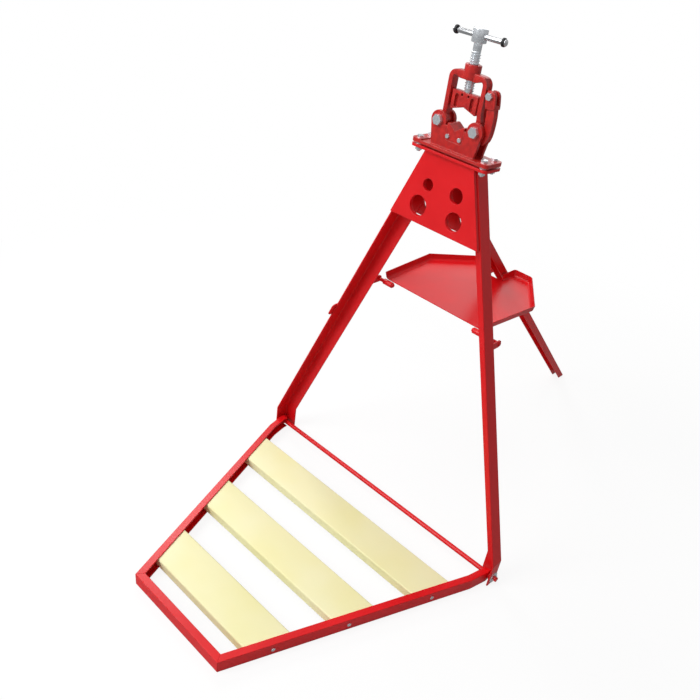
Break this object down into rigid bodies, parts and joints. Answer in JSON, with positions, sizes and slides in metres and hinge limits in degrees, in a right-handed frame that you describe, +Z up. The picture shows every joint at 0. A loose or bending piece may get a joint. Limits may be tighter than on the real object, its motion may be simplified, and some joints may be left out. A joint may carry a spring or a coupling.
{
  "type": "tripod pipe vise stand",
  "caption": "Three-legged folding stand with a slatted footboard, a tool tray and a hinged-yoke vise that clamps pipe between two V jaws.",
  "frame": {"origin": "on the floor, in the middle of the footprint: 189 mm behind the rod that the footboard folds on", "axes": "+X to the right seen from the footboard, +Y to the rear leg, +Z up"},
  "size_m": [0.7982, 1.6202, 1.152],
  "materials": {
    "frame_paint": "gloss red enamel on sheet and rolled steel",
    "casting_paint": "semi-gloss red enamel on cast iron",
    "painted_slats": "pale yellow paint on planed boards",
    "zinc": "bright zinc plate",
    "bar_chrome": "bright plated bar",
    "ring_rubber": "matt black rubber"
  },
  "bodies": {
    "stand": {"left_leg": "frame_paint", "right_leg": "frame_paint", "leg_clip": "frame_paint", "pivot_rod": "frame_paint", "rod_washers": "zinc", "rod_spacers": "frame_paint", "rod_split_pins": "zinc", "head_front_plate": "frame_paint", "head_back_plate": "frame_paint", "head_top_plate": "frame_paint", "rear_leg_bracket": "frame_paint", "rear_leg_bolt": "zinc", "rear_leg_nut": "zinc", "tray_pins": "frame_paint", "tray_brackets": "frame_paint", "mounting_bolts": "zinc", "mounting_nuts": "zinc", "mounting_washers": "zinc", "vise_base": "casting_paint", "lower_jaw": "casting_paint", "lower_jaw_screws": "zinc", "yoke_hinge_bolt": "zinc", "yoke_hinge_nut": "zinc", "latch_bolt": "zinc", "latch_nut": "zinc"},
    "footboard": {"footboard_side_left": "frame_paint", "footboard_side_right": "frame_paint", "footboard_front_bar": "frame_paint", "slat_front": "painted_slats", "slat_middle": "painted_slats", "slat_rear": "painted_slats", "slat_screws": "zinc"},
    "rear_leg": {"rear_leg": "frame_paint"},
    "tray": {"tray": "frame_paint"},
    "yoke": {"yoke": "casting_paint", "hook_bolt": "zinc", "hook_nut": "zinc"},
    "latch_hook": {"latch_hook": "casting_paint"},
    "upper_jaw": {"upper_jaw": "casting_paint"},
    "clamp_screw": {"clamp_screw": "zinc"},
    "tommy_bar": {"tommy_bar": "bar_chrome", "bar_rings": "ring_rubber", "bar_caps": "bar_chrome"}
  },
  "joints": [
    {"name": "footboard_fold", "type": "hinge", "parent": "stand", "child": "footboard", "pos_m": [0, -0.18907, 0.0175], "axis": [-1, 0, 0], "range_deg": [0, 90.27]},
    {"name": "rear_leg_fold", "type": "hinge", "parent": "stand", "child": "rear_leg", "pos_m": [0, -0.10107, 0.8235], "axis": [-1, 0, 0], "range_deg": [0, 45]},
    {"name": "tray_fold", "type": "hinge", "parent": "stand", "child": "tray", "pos_m": [0, -0.11106, 0.553], "axis": [-1, 0, 0], "range_deg": [0, 90.1]},
    {"name": "yoke_open", "type": "hinge", "parent": "stand", "child": "yoke", "pos_m": [-0.045, -0.14106, 0.975], "axis": [0, -1, 0], "range_deg": [0, 95]},
    {"name": "hook_swing", "type": "hinge", "parent": "yoke", "child": "latch_hook", "pos_m": [0.057, -0.14106, 1.045], "axis": [0, -1, 0], "range_deg": [0, 76.1]},
    {"name": "jaw_slide", "type": "slide", "parent": "yoke", "child": "upper_jaw", "axis": [0, 0, 1], "range_m": [-0.0241, 0.0181]},
    {"name": "screw_turn", "type": "hinge", "parent": "upper_jaw", "child": "clamp_screw", "pos_m": [0, -0.14106, 1.08], "axis": [0, 0, 1], "range_deg": [-1728, 1296]},
    {"name": "bar_slide", "type": "slide", "parent": "clamp_screw", "child": "tommy_bar", "axis": [1, 0, 0], "range_m": [-0.034, 0.034]}
  ],
  "couplings": [
    {"joint": "tray_fold", "follows": "rear_leg_fold", "ratio": 2},
    {"joint": "hook_swing", "follows": "yoke_open", "ratio": 0.8},
    {"joint": "jaw_slide", "follows": "screw_turn", "m_per_rad": 0.00079577}
  ]
}
